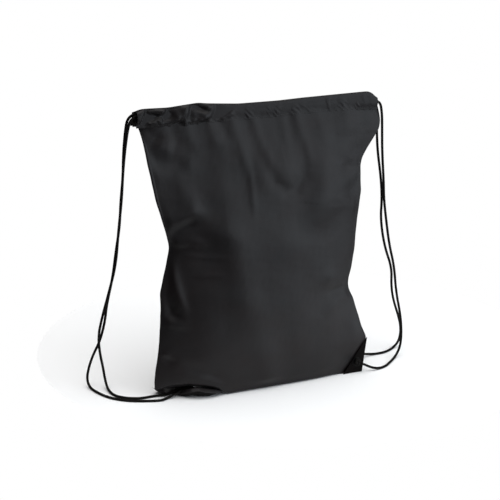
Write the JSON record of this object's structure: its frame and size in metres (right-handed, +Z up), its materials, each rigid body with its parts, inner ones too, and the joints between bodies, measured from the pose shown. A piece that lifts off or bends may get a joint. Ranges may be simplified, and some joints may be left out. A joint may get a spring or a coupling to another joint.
{
  "type": "drawstring backpack",
  "caption": "Flat fabric drawstring backpack standing upright, with two looped drawcords through the top hem and knotted in eyelets at reinforced bottom corners.",
  "frame": {"origin": "centre of the bag's footprint, on the surface it stands on, measured without the cords", "axes": "+X to the wearer's right as seen from the front panel, -Y out of the front panel, +Z up through the mouth"},
  "size_m": [0.4733, 0.1227, 0.392],
  "materials": {
    "fabric": "coated plain-weave nylon with a soft satin sheen",
    "thread": "matte polyester thread",
    "leatherette": "fine-grained leatherette, semi-matte",
    "eyelet_metal": "black lacquered metal",
    "cord": "braided polyester cord"
  },
  "bodies": {
    "bag": {"front_panel": "fabric", "back_panel": "fabric", "left_side_seam": "fabric", "right_side_seam": "fabric", "bottom_seam": "fabric", "front_casing": "fabric", "back_casing": "fabric", "front_casing_stitching": "thread", "back_casing_stitching": "thread", "right_front_patch": "leatherette", "right_back_patch": "leatherette", "left_front_patch": "leatherette", "left_back_patch": "leatherette", "left_eyelet": "eyelet_metal", "left_eyelet_washer": "eyelet_metal", "right_eyelet": "eyelet_metal", "right_eyelet_washer": "eyelet_metal", "left_knot": "cord", "right_knot": "cord"},
    "left_drawcord": {"left_front_strand": "cord", "left_back_strand": "cord", "left_cord_run": "cord"},
    "right_drawcord": {"right_front_strand": "cord", "right_back_strand": "cord", "right_cord_run": "cord"}
  },
  "joints": [
    {"name": "left_cord_pull", "type": "slide", "parent": "bag", "child": "left_drawcord", "axis": [-1, 0, 0], "range_m": [0, 0.08], "deforming": ["front_casing", "front_casing_stitching", "left_front_strand", "left_back_strand"]},
    {"name": "right_cord_pull", "type": "slide", "parent": "bag", "child": "right_drawcord", "axis": [1, 0, 0], "range_m": [0, 0.08], "deforming": ["back_casing", "back_casing_stitching", "right_front_strand", "right_back_strand"]}
  ]
}
